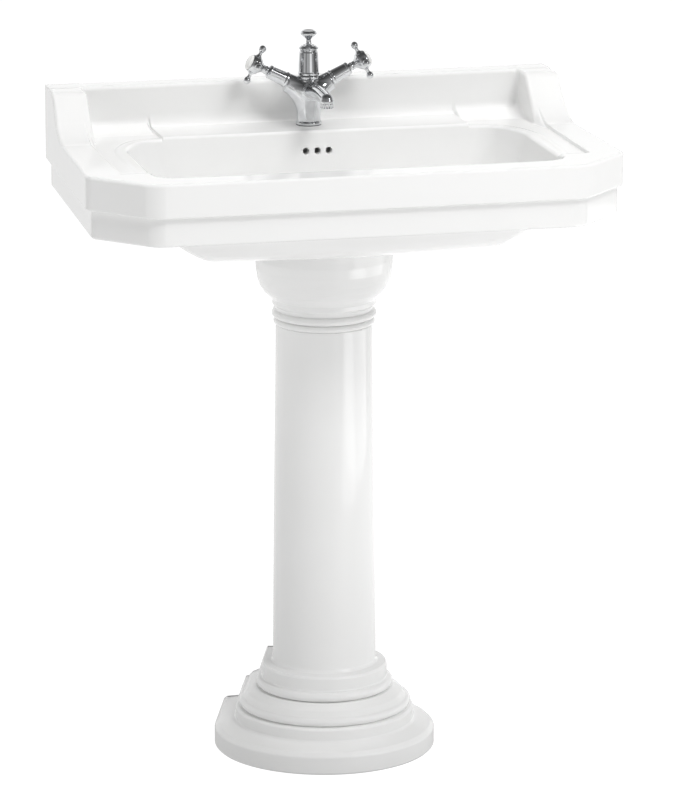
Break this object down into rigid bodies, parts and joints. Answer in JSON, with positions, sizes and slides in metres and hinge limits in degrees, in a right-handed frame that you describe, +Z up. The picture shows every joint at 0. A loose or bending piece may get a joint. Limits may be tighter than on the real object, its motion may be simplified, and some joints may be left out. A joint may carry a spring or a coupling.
{
  "type": "pedestal washbasin",
  "caption": "Glazed rectangular washbasin with cut front corners, splashback and wings on a moulded column pedestal, with a cross-handle mono tap and pop-up waste.",
  "frame": {"origin": "on the floor, in the middle of the object's width and depth", "axes": "+Z up, +X to the right of a person facing the basin, +Y towards the wall behind it"},
  "size_m": [0.7998, 0.485, 1.0823],
  "materials": {
    "glaze": "glossy white glaze over vitreous china",
    "index_glaze": "glossy white porcelain",
    "chrome": "polished chrome plate",
    "brass": "machined, lightly tarnished",
    "copper": "drawn copper tube, lightly tarnished",
    "steel": "zinc plated, satin",
    "rubber": "matt black moulded rubber",
    "sealant": "white silicone, satin",
    "mesh": "grey moulded plastic"
  },
  "bodies": {
    "fixed": {"basin": "glaze", "pedestal": "glaze", "pedestal_seal": "sealant", "tap_gasket": "rubber", "tap_body": "chrome", "spout": "chrome", "spout_nozzle": "chrome", "aerator": "mesh", "centre_bonnet": "chrome", "bonnet_cap": "chrome", "hot_valve": "brass", "cold_valve": "brass", "hot_bonnet": "chrome", "cold_bonnet": "chrome", "tap_stud": "steel", "rubber_washer": "rubber", "clamp_plate": "steel", "clamp_nut": "brass", "hot_tail": "copper", "cold_tail": "copper", "hot_union": "brass", "cold_union": "brass", "waste_flange": "chrome", "flange_seal": "rubber", "lower_seal": "rubber", "backnut": "brass", "waste_body": "chrome", "pivot_nut": "chrome", "trap_inlet_nut": "chrome", "trap_inlet_seal": "rubber", "trap_body": "chrome", "trap_cup": "chrome", "trap_cup_seal": "rubber", "outlet_nut": "chrome", "outlet_seal": "rubber", "outlet_pipe": "chrome"},
    "hot_tap": {"hot_spindle": "brass", "hot_handle": "chrome", "hot_index": "index_glaze"},
    "cold_tap": {"cold_spindle": "brass", "cold_handle": "chrome", "cold_index": "index_glaze"},
    "lift": {"lift_rod": "chrome", "lift_knob": "chrome", "strap": "steel", "strap_screw": "chrome"},
    "lever": {"ball_rod": "chrome", "rod_clip": "steel"},
    "plug": {"plug": "chrome", "plug_seal": "rubber"}
  },
  "joints": [
    {"name": "hot_turn", "type": "hinge", "parent": "fixed", "child": "hot_tap", "pos_m": [0, 0.1615, 0.9908], "axis": [-0.887, 0, 0.4617], "range_deg": [0, 90]},
    {"name": "cold_turn", "type": "hinge", "parent": "fixed", "child": "cold_tap", "pos_m": [0, 0.1615, 0.9908], "axis": [0.887, 0, 0.4617], "range_deg": [-90, 0]},
    {"name": "knob_lift", "type": "slide", "parent": "fixed", "child": "lift", "axis": [0, 0, 1], "range_m": [0, 0.025]},
    {"name": "lever_tilt", "type": "hinge", "parent": "fixed", "child": "lever", "pos_m": [0, 0.0695, 0.735], "axis": [1, 0, 0], "range_deg": [0, 15.8]},
    {"name": "plug_drop", "type": "slide", "parent": "fixed", "child": "plug", "axis": [0, 0, 1], "range_m": [-0.0074, 0]}
  ],
  "couplings": [
    {"joint": "lever_tilt", "follows": "knob_lift", "rad_per_m": 10.87},
    {"joint": "plug_drop", "follows": "knob_lift", "ratio": -0.29348}
  ]
}
